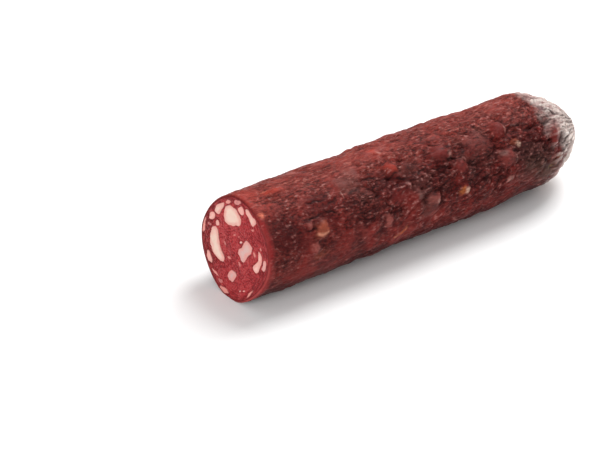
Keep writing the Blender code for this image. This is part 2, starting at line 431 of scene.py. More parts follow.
    # the closed end: fine gathers between the pleats, which run to the tip
    gather = soft_step((stage - 1.12) / 0.5)
    folds = (
        0.55 * np.abs(np.sin(15.5 * angle + 1.3 * np.sin(3 * angle + 2.2 * stage) + 1.5 * stage))
        + 0.45 * np.abs(np.sin(26.5 * angle + 2.1 * np.sin(2 * angle + 3.1 * stage)))
        - 0.55
    )
    stripes = band_noise(28, shape, spacing, (22.0, 3.9)) + 0.55 * band_noise(29, shape, spacing, (15.0, 2.3))
    gather_wide = soft_step((x - 160) / 12)
    relief = relief * (1 - 0.35 * gather) + gather * np.minimum(0.34, 0.045 * radius) * folds
    relief += gather_wide * np.minimum(0.18, 0.025 * radius) * np.clip(stripes, -1.6, 1.6)
    pleat = np.abs(np.sin(0.5 * PLEATS * angle + 0.9 * np.sin(2 * angle) + 0.4 * stage))
    return {
        "relief": relief,
        # where shade is painted: the valleys and creases, and the folds and pleats of the end
        "hollow_shade": np.clip(
            rough * (1 - 0.7 * lump_mask) * (0.85 * valleys - 0.25 * billow)
            + gather * (0.15 - 1.5 * folds)
            + 0.6 * soft_step((stage - 1.3) / 0.45) * (1 - pleat) ** 1.5
            + 0.50 * gather_wide * soft_step((-0.55 - stripes) / 0.60),
            0,
            1,
        ),
        "stripe": gather_wide * soft_step((stripes - 0.25) / 0.7),
        # where highlights are painted: the crests of the wrinkles, the knob tops and the tops of the end's folds
        "crest": np.clip(
            rough * (1 - 0.6 * lump_mask) * (0.70 * billow + 0.85 * billow_fine + 0.25 * crepe)
            + knobby * (1 - 0.92 * lump_mask) * (0.70 * np.maximum(knobs, 0) + 0.50 * np.maximum(knobs_small, 0))
            + gather * 1.2 * folds,
            0,
            1,
        ),
        "cracked": cracked,
        "rough": rough,
        "lump": lump_mask,
        "tint": tint,
        "tint_weight": tint_weight,
        "patches": patches,
        "small_patches": small_patches,
    }


def make_skin():
    angles = np.arange(SKIN_AROUND) * 2 * math.pi / SKIN_AROUND
    body = np.arange(1, SKIN_BODY + 1) / SKIN_BODY
    end = 1.0 + np.arange(1, SKIN_END) / SKIN_END
    rim_stage = np.array([behind / 140.0 for _, behind in RIM_ROWS])
    first = 0.85 / 140.0
    body = first + (1 - first) * body
    stage = np.concatenate([rim_stage, body, end])[:, None] + 0 * angles[None, :]
    angle = angles[None, :] + 0 * stage
    inset = np.concatenate([[inward for inward, _ in RIM_ROWS], np.zeros(len(body) + len(end))])[:, None]

    _, x, radius = skin(stage, angle)
    detail = skin_detail(stage, angle, x, radius)
    rise = soft_step((x - 0.6) / 1.2)
    points, x, radius = skin(stage, angle, inset, detail["relief"] * rise)

    rows, columns = stage.shape
    core = points[0].mean(axis=0)
    tip, _, _ = skin(np.array([2.0]), np.array([0.0]))
    flat = np.concatenate([points.reshape(-1, 3), core[None], tip])
    faces = [tuple(face) for face in grid_faces(rows, columns, True).tolist()]
    last = (rows - 1) * columns
    for j in range(columns):
        k = (j + 1) % columns
        faces.append((rows * columns, k, j))
        faces.append((rows * columns + 1, last + j, last + k))
    piece = make_mesh("casing", flat, faces)
    mesh = piece.data

    def per_point(values, at_core=0.0, at_tip=None):
        values = np.asarray(values, dtype=float)
        tail = values[-1].mean(axis=0) if at_tip is None else at_tip
        return np.concatenate([values.reshape((-1,) + values.shape[2:]), np.array([at_core + 0 * tail]), np.array([tail])])

    deg = np.degrees(angle)
    # The closed end is dry and pale. On its lower side the paleness starts later.
    lower = soft_step((turn_between(deg, 90) - 20) / 100)
    ragged = 2.2 * detail["small_patches"] + 1.2 * detail["patches"]
    pale = soft_step((x + ragged - (164.0 + 4.0 * lower)) / 11.0)
    pale = np.maximum(pale, 0.85 * detail["stripe"] * soft_step((x + ragged - 161.0) / 9.0))
    # painted light: the skin near the cut, on its upper side, is coloured brighter red, as thin skin lit through from
    # behind
    near_cut_glow = soft_step((15.0 - x - 2.0 * detail["small_patches"]) / 13.0) * soft_step((82 - np.abs(turn_between(deg, 60))) / 45)
    cut_band = soft_step((3.0 - x - 0.4 * detail["small_patches"]) / 2.0) * (1 - 0.8 * soft_step((60 - np.abs(turn_between(deg, 70))) / 30))
    # painted light: the upper side of the skin, where the light falls, gets a lighter colour
    lit_upper_side = soft_step((62 - np.abs(turn_between(deg, 78))) / 45)
    rim = np.clip(inset / 0.75 + 0 * x, 0, 1) * (x < 3.5)
    # painted light: a glow along the cut's rim, as if lit through from behind, brighter on one side
    rim_glow = soft_step((inset + 0.15) / 0.4) * soft_step((1.0 - inset) / 0.35) * (x < 3.5) * (0.5 + 0.5 * np.sin(angle + math.radians(200)))
    bloom = np.zeros_like(x)
    for along, around, size, strength in HAZE:
        across = np.radians(turn_between(deg, around)) * RADIUS
        near = np.hypot(x - along, across) / size + 0.30 * detail["small_patches"]
        bloom = np.maximum(bloom, strength * soft_step((1.3 - near) / 0.9))
    add_float(mesh, "hollow_shade", per_point(np.maximum(detail["hollow_shade"], detail["cracked"])))
    add_float(mesh, "cracked", per_point(detail["cracked"]))
    add_float(mesh, "crest", per_point(detail["crest"]))
    add_float(mesh, "lit_upper_side", per_point(lit_upper_side))
    add_float(mesh, "wrinkled", per_point(detail["rough"]))
    add_float(mesh, "lump", per_point(detail["lump"]))
    add_float(mesh, "spot_weight", per_point(detail["tint_weight"]))
    add_float(mesh, "pale", per_point(pale))
    add_float(mesh, "stripe", per_point(detail["stripe"]))
    add_float(mesh, "near_cut_glow", per_point(near_cut_glow))
    add_float(mesh, "cut_band", per_point(cut_band))
    add_float(mesh, "rim", per_point(rim))
    add_float(mesh, "rim_glow", per_point(np.clip(rim_glow, 0, 1)))
    dark = np.zeros_like(x)
    for along, around, size, strength in DARK:
        across = np.radians(turn_between(deg, around)) * RADIUS
        near = np.hypot(x - along, across) / size + 0.28 * detail["small_patches"]
        dark = np.maximum(dark, strength * soft_step((1.35 - near) / 1.0))
    # painted shade: darker along the lower side, next to the floor
    dark = np.maximum(dark, 0.85 * soft_step((deg - 200) / 18) * soft_step((268 - deg) / 20) * soft_step((178 - x) / 12))
    add_float(mesh, "bloom", per_point(bloom))
    add_float(mesh, "dark", per_point(dark))
    add_colour(mesh, "spot_tint", per_point(detail["tint"]))

    # One map for the whole skin: along the stick and round it.
    arc = np.concatenate([np.zeros((1, columns)), np.cumsum(np.linalg.norm(np.diff(points, axis=0), axis=2), axis=0)])
    arc = arc / arc[-1].max()
    u = per_point(0.01 + 0.97 * arc, 0.005, 0.985)
    v = np.concatenate([(angle / (2 * math.pi)).ravel(), [0.5, 0.5]])
    layer = mesh.uv_layers.new(name="OFBake")
    loops = np.empty(len(mesh.loops), dtype=np.int32)
    mesh.loops.foreach_get("vertex_index", loops)
    starts = np.empty(len(mesh.polygons), dtype=np.int32)
    totals = np.empty(len(mesh.polygons), dtype=np.int32)
    mesh.polygons.foreach_get("loop_start", starts)
    mesh.polygons.foreach_get("loop_total", totals)
    uv = np.stack([u[loops], v[loops]], axis=1)
    owner = np.repeat(np.arange(len(starts)), totals)
    seam = np.zeros(len(starts), dtype=bool)
    column = loops % columns
    has_last = np.bincount(owner, weights=(column == columns - 1) & (loops < rows * columns)) > 0
    has_first = np.bincount(owner, weights=(column == 0) & (loops < rows * columns)) > 0
    seam = has_last & has_first
    wrap = seam[owner] & (column == 0) & (loops < rows * columns)
    uv[wrap, 1] = 1.0
    pole = loops >= rows * columns
    if pole.any():
        total = np.bincount(owner[~pole], weights=uv[~pole, 1], minlength=len(starts))
        count = np.bincount(owner[~pole], minlength=len(starts))
        uv[pole, 1] = (total / np.maximum(count, 1))[owner[pole]]
    layer.data.foreach_set("uv", np.ascontiguousarray(uv, dtype=np.float32).ravel())
    return piece


# Dry grey bloom on the skin: place along, place round, size, strength.
HAZE = (
    (54.0, 118, 5.5, 0.55),
    (57.4, 140, 6.0, 0.50),
    (90.0, 150, 8.0, 0.35),
    (86.0, 128, 5.0, 0.40),
    (92.0, 172, 6.0, 0.40),
    (122.0, 140, 9.0, 0.35),
    (128.0, 116, 5.0, 0.45),
    (137.0, 150, 6.0, 0.40),
    (153.3, 170, 9.0, 0.50),
    (163.1, 192, 8.0, 0.50),
    (40.0, 20, 8.0, 0.50),
    (98.0, 350, 9.0, 0.45),
    (140.0, 25, 8.0, 0.50),
    (70.0, 300, 8.0, 0.45),
    (120.0, 240, 9.0, 0.40),
    (30.0, 230, 9.0, 0.35),
)


# Darker stretches of the skin: place along, place round, size, strength.
DARK = (
    (11.0, 145, 10.0, 0.75),
    (37.0, 137, 8.0, 0.60),
    (76.0, 138, 8.0, 0.60),
    (90.0, 149, 7.0, 0.55),
    (101.0, 140, 5.0, 0.45),
    (117.0, 158, 6.0, 0.40),
    (130.0, 132, 5.0, 0.40),
    (153.0, 152, 9.5, 0.80),
    (22.0, 250, 10.0, 0.50),
    (60.0, 10, 12.0, 0.60),
    (110.0, 40, 9.0, 0.50),
    (120.0, 320, 11.0, 0.60),
    (150.0, 290, 9.0, 0.50),
    (20.0, 330, 9.0, 0.50),
)


# ---------------------------------------------------------------- the cut face
FACE_GRID = 262
FACE_DEPTH = 2.6
# The larger pieces of fat in the cut: colour, and their corners across (towards the camera's left) and up from the middle.
FAT_PIECES = (
    ("cream", ((10.4, 15.8), (8.7, 17.4), (6.2, 18.5), (3.4, 18.1), (0.5, 16.7), (-1.5, 15.1), (-1.7, 12.3), (2.0, 10.2), (6.1, 9.0), (8.8, 9.4), (10.0, 11.6))),
    ("cream", ((16.8, 3.2), (14.7, 4.6), (12.7, 3.1), (11.5, 0.3), (10.1, -2.8), (8.2, -5.0), (5.7, -6.9), (5.8, -8.6), (7.5, -9.8), (10.7, -9.5), (14.0, -7.7), (16.5, -4.7), (17.3, -1.2))),
    ("grey", ((-6.7, 7.4), (-8.8, 7.1), (-11.3, 5.5), (-11.3, 3.2), (-9.2, 0.2), (-7.5, -3.2), (-5.5, -3.2), (-3.9, -1.9), (-2.1, -0.5), (-2.5, 1.0), (-4.6, 2.7), (-5.7, 4.9))),
    ("grey", ((0.3, -10.4), (-1.9, -10.2), (-3.5, -11.0), (-3.1, -13.3), (-2.2, -15.9), (0.1, -15.7), (2.2, -14.7), (2.0, -12.9))),
    ("cream", ((15.9, 14.3), (11.5, 17.5), (11.0, 16.3), (12.3, 13.4), (13.3, 10.9), (15.4, 10.6), (16.8, 11.6))),
    ("pink", ((18.9, 10.0), (16.8, 10.7), (15.7, 9.7), (16.1, 8.0), (17.6, 6.6), (19.5, 6.5), (20.1, 8.1))),
    ("pink", ((2.3, 18.8), (0.3, 20.1), (-0.9, 21.1), (-2.4, 20.5), (-3.2, 19.0), (-2.4, 17.2), (-0.9, 17.1), (1.0, 18.2))),
    ("cream", ((-3.5, 20.5), (-4.9, 21.2), (-6.8, 20.6), (-10.0, 19.0), (-11.5, 17.6), (-10.5, 15.4), (-8.8, 15.3), (-7.0, 17.0), (-4.8, 18.6))),
    ("pink", ((-14.8, 6.0), (-16.6, 6.1), (-18.4, 4.9), (-18.7, 2.8), (-18.3, 0.0), (-17.9, -3.1), (-16.1, -4.3), (-14.4, -3.7), (-13.1, -2.7), (-15.0, -0.3), (-16.3, 1.8), (-15.6, 4.3))),
    ("grey", ((-20.0, 3.7), (-21.2, 4.3), (-22.0, 2.8), (-22.0, 0.4), (-21.0, -1.7), (-19.4, -1.2), (-19.7, 1.0))),
)
# The smaller ones: middle, half of the long side, half of the short side, bend in half-widths, squareness, colour and how
# much they stand out.
FAT_BITS = (
    (13.7, 6.6, -0.3, -1.3, 1.31, -0.60, 0.00, 2.0, "pink", 0.80),
    (15.9, -11.1, -1.6, -2.4, 1.25, -0.81, 0.15, 2.0, "pink", 0.75),
    (10.5, -16.5, -2.4, -0.6, 0.34, -0.41, 0.00, 2.0, "salmon", 0.80),
    (-3.6, 4.9, -0.7, 0.3, -0.09, -0.44, 0.00, 2.0, "white", 1.00),
    (8.7, 19.1, -1.7, 1.0, -0.37, -0.70, 0.00, 2.0, "salmon", 0.90),
    (2.6, 21.5, -2.2, 0.5, 0.22, -1.18, 0.00, 2.0, "mauve", 0.70),
    (22.6, 1.8, 0.1, -3.5, 1.09, -0.37, 0.25, 2.0, "salmon", 0.90),
    (3.0, -21.7, -3.0, -0.4, 0.79, -1.13, 0.06, 2.0, "salmon", 0.85),
    (-7.8, -17.2, -0.6, 0.3, -0.08, -0.37, 0.00, 2.0, "white", 0.90),
    (-10.3, -16.0, -0.6, 0.3, -0.07, -0.34, 0.00, 2.0, "white", 0.80),
    (-14.3, -15.5, 1.5, -2.4, 0.58, 0.06, 0.00, 2.0, "salmon", 0.90),
    (-10.1, 13.8, -1.0, 0.4, -0.13, -0.60, 0.00, 2.0, "salmon", 0.50),
    (1.5, 6.1, -0.9, 0.4, -0.09, -0.40, 0.00, 2.0, "salmon", 0.50),
    (-1.7, 6.6, -0.5, 0.3, -0.09, -0.40, 0.00, 2.0, "salmon", 0.45),
    (2.7, -5.6, -1.3, 0.2, 0.20, -0.68, 0.00, 2.0, "salmon", 0.50),
    (6.9, -0.3, -0.9, -0.7, 0.51, -0.42, 0.00, 2.0, "salmon", 0.40),
    (-13.5, 3.4, -0.8, -1.0, 0.58, -0.40, 0.00, 2.0, "salmon", 0.50),
    (-4.6, -5.2, -0.8, -0.9, 0.58, -0.40, 0.00, 2.0, "salmon", 0.45),
    (6.0, -18.6, -1.5, -0.4, 0.75, -0.89, 0.00, 2.0, "mauve", 0.45),
    (18.6, 4.0, -1.3, -0.1, 0.55, -0.82, 0.00, 2.0, "mauve", 0.45),
    (-16.9, 7.7, -0.4, -0.7, 0.46, -0.27, 0.00, 2.0, "salmon", 0.50),
    (19.7, -11.9, -0.6, -0.9, 0.53, -0.34, 0.00, 2.0, "mauve", 0.40),
)
FAT_COLOURS = {
    "cream": (0.71, 0.515, 0.43),
    "pink": (0.74, 0.44, 0.38),
    "grey": (0.57, 0.36, 0.335),
    "salmon": (0.66, 0.24, 0.20),
    "mauve": (0.42, 0.13, 0.14),
    "white": (0.88, 0.72, 0.66),
}


def outline_distance(corners, across, up):
    """The distance to a closed outline, negative inside it."""
    nearest = np.full_like(across, 1e9)
    inside = np.zeros(across.shape, dtype=bool)
    for (ax, ay), (bx, by) in zip(corners, corners[1:] + corners[:1]):
        ex, ey = bx - ax, by - ay
        px, py = across - ax, up - ay
        t = np.clip((px * ex + py * ey) / (ex * ex + ey * ey), 0, 1)
        nearest = np.minimum(nearest, np.hypot(px - t * ex, py - t * ey))
        crosses = (ay > up) != (by > up)
        inside ^= crosses & (across < ax + (up - ay) * ex / (ey if abs(ey) > 1e-9 else 1e-9))
    return np.where(inside, -nearest, nearest)


def blurred(field, reach):
    """A box blur over a square of cells, done twice."""
    for _ in range(2):
        for axis in (0, 1):
            total = np.zeros_like(field)
            for shift in range(-reach, reach + 1):
                index = np.clip(np.arange(field.shape[axis]) + shift, 0, field.shape[axis] - 1)
                total += np.take(field, index, axis=axis)
            field = total / (2 * reach + 1)
    return field


def make_cut_face():
    n = FACE_GRID
    line = np.linspace(-1, 1, n + 1)
    gx, gy = np.meshgrid(line, line, indexing="ij")
    u = gx * np.sqrt(1 - gy**2 / 2)
    v = gy * np.sqrt(1 - gx**2 / 2)
    reach = np.hypot(u, v)
    angle = np.arctan2(v, u)
    _, _, edge = skin(np.zeros_like(angle), angle)
    across = reach * (edge - RIM + 0.06) * np.cos(angle)
    up = reach * (edge - RIM + 0.06) * np.sin(angle)
    spacing = (48.0 / n, 48.0 / n)
    warp_a = low_noise(31, across.shape, spacing, 3.2)
    warp_b = low_noise(32, across.shape, spacing, 3.2)
    fine_warp = band_noise(33, across.shape, spacing, (1.3, 1.3))

    fat = np.zeros_like(across)
    depth = np.zeros_like(across)
    colour = np.zeros(across.shape + (3,))
    gap = np.full_like(across, 9.0)
    shapes = []
    for name, corners in FAT_PIECES:
        distance = outline_distance(corners, across + 0.14 * warp_a + 0.05 * fine_warp, up + 0.14 * warp_b)
        shapes.append((blurred(distance, 3) + 0.02, name, 1.0))
    for cy, cz, ay, az, by, bz, bend, power, name, strength in FAT_BITS:
        matrix = np.linalg.inv(np.array([[ay, by], [az, bz]]))
        size = min(math.hypot(ay, az), math.hypot(by, bz), 3.0)
        amount = 0.16 * min(1.0, size)
        dy = across - cy + amount * warp_a + 0.05 * fine_warp
        dz = up - cz + amount * warp_b
        p = matrix[0, 0] * dy + matrix[0, 1] * dz
        q = matrix[1, 0] * dy + matrix[1, 1] * dz
        q = q - bend * (1 - np.clip(np.abs(p), 0, 1.2) ** 2)
        near = (np.abs(p) ** power + np.abs(q) ** power) ** (1 / power)
        shapes.append(((near - 1) * size, name, strength))
    for distance, name, strength in shapes:
        weight = soft_step((0.28 - distance) / 0.56) * strength
        stronger = weight > fat
        colour[stronger] = FAT_COLOURS[name]
        fat = np.maximum(fat, weight)
        depth = np.maximum(depth, soft_step((-distance - 0.25 + 0.30 * warp_b) / 2.0))
        gap = np.minimum(gap, np.where(strength > 0.6, np.abs(distance - 0.16), 9.0))

    # the gaps round the fat: sunk in the relief, and darkened in the material as painted shade
    crevice = np.exp(-((gap / 0.26) ** 2)) * np.clip(0.5 + 0.6 * low_noise(34, across.shape, spacing, 4.0), 0, 1)
    outer = soft_step((reach - 0.70) / 0.18)
    grain = band_noise(35, across.shape, spacing, (2.3, 1.6), 0.8)
    grain = grain * (1 - outer) + outer * (0.5 * grain + 0.9 * polar_noise(38, angle, reach * RADIUS, (4.5, 1.15)))
    grain_fine = band_noise(36, across.shape, spacing, (0.9, 0.75), 0.6)
    cloudy = low_noise(39, across.shape, spacing, 4.0)
    # darker towards the rim of the cut, all round and more on two sides; on the side towards the camera's left the
    # darkening is a painted shadow
    margin_and_shadow = soft_step((reach - 0.66) / 0.16) * soft_step((math.radians(52) - np.abs(angle + math.radians(12))) / math.radians(30))
    margin_and_shadow = np.maximum(margin_and_shadow * 0.95, 0.6 * soft_step((reach - 0.90) / 0.06))
    margin_and_shadow = np.maximum(margin_and_shadow, 0.62 * soft_step((reach - 0.80) / 0.08) * soft_step((np.abs(angle) - 2.2) / 0.4))
    broad = low_noise(37, across.shape, spacing, 9.0)
    fade = soft_step((1 - reach) / 0.06)
    relief = (
        0.13 * soft_step(fat)
        - 0.17 * crevice
        + (1 - fat) * (0.065 * grain + 0.035 * grain_fine)
        + fat * (0.02 * grain)
        + 0.10 * broad
    ) * fade
    front = np.stack([CUT_LEAN_Y * across + CUT_LEAN_Z * up - relief, across, RADIUS + up], axis=-1)
    front[..., 2] -= SINK
    back = front.copy()
    back[..., 0] = CUT_LEAN_Y * across + CUT_LEAN_Z * up + FACE_DEPTH

    size = n + 1
    quads = grid_faces(size, size, False)
    total = size * size
    # The back is coarse: only the ring of its edge and one point in the middle.
    edge_ring = np.concatenate(
        [
            np.arange(n) * size,
            n * size + np.arange(n),
            np.arange(n, 0, -1) * size + n,
            np.arange(n, 0, -1),
        ]
    )
    back_points = back.reshape(-1, 3)[edge_ring]
    flat = np.concatenate([front.reshape(-1, 3), back_points, back_points.mean(axis=0)[None]])
    faces = [tuple(face) for face in quads.tolist()]
    m = len(edge_ring)
    for k in range(m):
        a, b = int(edge_ring[k]), int(edge_ring[(k + 1) % m])
        c, d = total + k, total + (k + 1) % m
        faces.append((a, c, d, b)[::-1])
        faces.append((c, total + m, d)[::-1])
    piece = make_mesh("cut_face", flat, faces)
    mesh = piece.data

    def per_point(values):
        values = np.asarray(values, dtype=float)
        flat_values = values.reshape((-1,) + values.shape[2:])
        tail = flat_values[edge_ring]
        return np.concatenate([flat_values, tail, tail[:1]])

    add_float(mesh, "fat", per_point(fat))
    add_float(mesh, "fat_depth", per_point(depth))
    add_float(mesh, "crevice", per_point(crevice * fade))
    add_float(mesh, "edge", per_point(reach))
    add_float(mesh, "mottle", per_point(0.5 + 0.22 * grain + 0.10 * grain_fine + 0.13 * cloudy))
    add_float(mesh, "margin_and_shadow", per_point(margin_and_shadow * np.clip(0.85 + 0.15 * cloudy, 0, 1)))
    add_colour(mesh, "fat_colour", per_point(colour))
    layer = mesh.uv_layers.new(name="OFBake")
    loops = np.empty(len(mesh.loops), dtype=np.int32)
    mesh.loops.foreach_get("vertex_index", loops)
    plan = np.stack([0.5 + flat[:, 1] / 49.5, 0.5 + (flat[:, 2] - RADIUS) / 49.5], axis=1)
    plan = np.clip(plan, 0.001, 0.999)
    layer.data.foreach_set("uv", np.ascontiguousarray(plan[loops], dtype=np.float32).ravel())
    return piece


# ---------------------------------------------------------------- materials
class Nodes:
    """Short names for building a material's nodes."""

    def __init__(self, name):
        self.material = bpy.data.materials.new(name)
        self.material.use_nodes = True
        self.tree = self.material.node_tree
        self.shader = next(node for node in self.tree.nodes if node.type == "BSDF_PRINCIPLED")
        self.place = self.add("ShaderNodeTexCoord").outputs["Object"]

    def add(self, kind, **settings):
        node = self.tree.nodes.new(kind)
        for key, value in settings.items():
            setattr(node, key, value)
        return node

    def link(self, value, socket):
        if isinstance(value, bpy.types.NodeSocket):
            self.tree.links.new(value, socket)
        elif isinstance(value, tuple):
            socket.default_value = (*value, 1.0) if len(value) == 3 and len(socket.default_value) == 4 else value
        else:
            socket.default_value = value

    def attribute(self, name, colour=False):
        node = self.add("ShaderNodeAttribute", attribute_name=name)
        return node.outputs["Color" if colour else "Fac"]

    def stretched(self, x, y, z):
        node = self.add("ShaderNodeMapping")
        self.link(self.place, node.inputs["Vector"])
        node.inputs["Scale"].default_value = (x, y, z)
        return node.outputs["Vector"]

    def noise(self, vector, scale, detail=4.0, rough=0.55, distortion=0.0):
        node = self.add("ShaderNodeTexNoise")
        self.link(vector, node.inputs["Vector"])
        node.inputs["Scale"].default_value = scale
        node.inputs["Detail"].default_value = detail
        node.inputs["Roughness"].default_value = rough
        node.inputs["Distortion"].default_value = distortion
        return node.outputs["Fac"]

    def math(self, operation, a, b=0.0, c=0.0, clamp=False):
        node = self.add("ShaderNodeMath", operation=operation, use_clamp=clamp)
        for value, socket in zip((a, b, c), node.inputs):
            self.link(value, socket)
        return node.outputs[0]

    def span(self, value, low, high, to_low=0.0, to_high=1.0, smooth=True):
        node = self.add("ShaderNodeMapRange", interpolation_type="SMOOTHSTEP" if smooth else "LINEAR", clamp=True)
        for key, entry in (("Value", value), ("From Min", low), ("From Max", high), ("To Min", to_low), ("To Max", to_high)):
            self.link(entry, node.inputs[key])
        return node.outputs[0]

    def mix(self, factor, a, b, blend="MIX"):
        node = self.add("ShaderNodeMix", data_type="RGBA", blend_type=blend, clamp_factor=True)
        self.link(factor, node.inputs[0])
        self.link(a, node.inputs[6])
        self.link(b, node.inputs[7])
        return node.outputs[2]

    def bump(self, height, strength, distance, normal=None):
        node = self.add("ShaderNodeBump")
        self.link(height, node.inputs["Height"])
        node.inputs["Strength"].default_value = strength
        node.inputs["Distance"].default_value = distance
        if normal is not None:
            self.link(normal, node.inputs["Normal"])
        return node.outputs["Normal"]


def skin_material():
    m = Nodes("sausage_skin")
    streaks = m.stretched(0.40, 1.0, 1.0)
    grain_place = m.stretched(0.60, 1.0, 1.0)
    hollow_shade = m.attribute("hollow_shade")
    cracked = m.attribute("cracked")
    crest = m.attribute("crest")
    lump = m.attribute("lump")
    bloom = m.attribute("bloom")
    pale = m.attribute("pale")
    wrinkled = m.attribute("wrinkled")

    cloud = m.noise(m.place, 85.0, 3.0, 0.5)
    streak = m.noise(streaks, 700.0, 4.0, 0.62, 0.3)
    grain = m.noise(grain_place, 1700.0, 4.0, 0.6)
    speck = m.noise(grain_place, 700.0, 2.0, 0.5)
    crackle = m.noise(streaks, 560.0, 3.0, 0.55, 0.9)
    crackle_fine = m.noise(grain_place, 620.0, 3.0, 0.55, 0.7)
    line = m.span(m.math("ABSOLUTE", m.math("SUBTRACT", crackle, 0.5)), 0.0, 0.028, 1.0, 0.0)
    line_fine = m.span(m.math("ABSOLUTE", m.math("SUBTRACT", crackle_fine, 0.5)), 0.0, 0.024, 1.0, 0.0)
    lines = m.math("MULTIPLY", m.math("MAXIMUM", line, m.math("MULTIPLY", line_fine, 0.7)), wrinkled)
    lines = m.math("MULTIPLY", lines, m.math("SUBTRACT", 1.0, m.math("MULTIPLY", lump, 0.7)), clamp=True)

    hair = m.noise(m.stretched(0.16, 1.0, 1.0), 1000.0, 3.0, 0.6, 0.2)
    upper = m.attribute("lit_upper_side")
    dark = m.attribute("dark")
    colour = m.mix(m.span(cloud, 0.36, 0.64), SKIN_DARK, SKIN_RED)
    colour = m.mix(m.span(streak, 0.42, 0.66, 0.0, 0.60), colour, SKIN_LIGHT)
    # painted light: the upper side is coloured lighter, and its streaks of the skin are painted lighter still, as the
    # lit top
    colour = m.mix(m.math("MULTIPLY", upper, m.span(streak, 0.30, 0.62, 0.55, 0.95)), colour, SKIN_UPPER_LIT)
    colour = m.mix(m.math("MULTIPLY", upper, m.span(hair, 0.54, 0.66, 0.0, 0.65)), colour, SKIN_LIT_STREAK)
    colour = m.mix(m.math("MULTIPLY", upper, m.span(hair, 0.46, 0.36, 0.0, 0.55)), colour, SKIN_DARK)
    # the darker stretches of the skin, and painted shade along the lower side
    colour = m.mix(dark, colour, SKIN_DARK)
    # painted light: brighter red near the cut on the upper side, as if lit through
    colour = m.mix(m.math("MULTIPLY", m.attribute("near_cut_glow"), 0.60), colour, SKIN_CUT_GLOW)
    colour = m.mix(m.math("MULTIPLY", m.attribute("cut_band"), 0.85), colour, SKIN_EDGE)
    colour = m.mix(m.math("MULTIPLY", lump, 0.25), colour, SKIN_RED)
    bloom_weight = m.math("MULTIPLY", bloom, m.span(grain, 0.30, 0.62, 0.25, 0.85))
    colour = m.mix(bloom_weight, colour, SKIN_BLOOM)
    spot = m.math("MULTIPLY", m.attribute("spot_weight"), m.span(streak, 0.25, 0.60, 0.72, 1.0))
    colour = m.mix(spot, colour, m.attribute("spot_tint", True))
    # painted highlights on the crests, and painted shade in the pits, crease lines, hollows and cracks
    pit_shade = m.math("MULTIPLY", wrinkled, m.span(speck, 0.45, 0.30, 0.0, 0.75))
    colour = m.mix(m.math("MULTIPLY", pit_shade, m.math("SUBTRACT", 1.0, m.math("MULTIPLY", spot, 0.8))), colour, SKIN_PAINTED_SHADE)
    crest_highlight_weight = m.math("MULTIPLY", crest, m.span(speck, 0.50, 0.68, 0.0, 0.70))
    colour = m.mix(m.math("MULTIPLY", crest_highlight_weight, m.math("SUBTRACT", 1.0, m.math("MULTIPLY", spot, 0.6))), colour, SKIN_PALE_AND_HIGHLIGHT)
    # painted shade in the crease lines and hollows
    colour = m.mix(m.math("MULTIPLY", lines, 0.62), colour, SKIN_PAINTED_SHADE)
    colour = m.mix(m.math("MULTIPLY", hollow_shade, 0.72), colour, SKIN_PAINTED_SHADE)
    # painted shade in the open cracks
    colour = m.mix(m.math("MULTIPLY", cracked, 0.85), colour, SKIN_CRACK_SHADE)
    colour = m.mix(m.math("MULTIPLY", m.attribute("stripe"), 0.22), colour, SKIN_PALE_AND_HIGHLIGHT)
    # the dry pale end
    end_colour = m.mix(m.span(streak, 0.36, 0.64), END_GREY, END_PALE)
    end_colour = m.mix(m.span(cloud, 0.42, 0.66, 0.0, 0.85), end_colour, END_MAUVE)
    # painted highlight: the crests of the end's folds take the pale colour
    end_colour = m.mix(m.math("MULTIPLY", crest, 0.5), end_colour, END_PALE)
    end_colour = m.mix(m.math("MULTIPLY", m.attribute("stripe"), 0.75), end_colour, END_PALE)
    # painted shade in the folds, crease lines and cracks of the end
    end_colour = m.mix(m.math("MULTIPLY", hollow_shade, 0.62), end_colour, END_PAINTED_SHADE)
    end_colour = m.mix(m.math("MULTIPLY", lines, 0.28), end_colour, END_PAINTED_SHADE)
    end_colour = m.mix(m.math("MULTIPLY", cracked, 0.85), end_colour, SKIN_CRACK_SHADE)
    end_weight = m.math("MULTIPLY", pale, m.span(grain, 0.22, 0.55, 0.70, 1.0))
    end_weight = m.math("MULTIPLY", end_weight, m.math("SUBTRACT", 1.0, m.math("MULTIPLY", spot, 0.75)))
    colour = m.mix(end_weight, colour, end_colour)
    colour = m.mix(m.attribute("rim"), colour, m.mix(m.span(streak, 0.35, 0.65), RIM_DARK, RIM_RED))
    # painted light: the rim's glow, brighter on one side
    colour = m.mix(m.math("MULTIPLY", m.attribute("rim_glow"), m.span(cloud, 0.38, 0.60, 0.25, 0.9)), colour, RIM_GLOW)
    m.link(colour, m.shader.inputs["Base Color"])

    rough = m.span(grain, 0.25, 0.75, 0.36, 0.58, False)
    rough = m.math("ADD", rough, m.math("MULTIPLY", bloom, 0.12))
    rough = m.math("ADD", rough, m.math("MULTIPLY", pale, 0.06))
    rough = m.math("SUBTRACT", rough, m.math("MULTIPLY", lump, 0.08), clamp=True)
    m.link(rough, m.shader.inputs["Roughness"])

    height = m.math("MULTIPLY", m.math("ABSOLUTE", m.math("SUBTRACT", streak, 0.5)), m.math("MULTIPLY", wrinkled, 2.0))
    height = m.math("ADD", height, m.math("MULTIPLY", grain, 0.40))
    height = m.math("SUBTRACT", height, m.math("MULTIPLY", lines, 0.45))
    m.link(m.bump(height, 0.9, 0.00042), m.shader.inputs["Normal"])
    m.shader.inputs["IOR"].default_value = 1.45
    m.shader.inputs["Specular IOR Level"].default_value = 0.11
    m.shader.inputs["Subsurface Weight"].default_value = 0.04
    m.shader.inputs["Subsurface Radius"].default_value = (0.0018, 0.0006, 0.0004)
    m.shader.inputs["Subsurface Scale"].default_value = 1.0
    return m.material


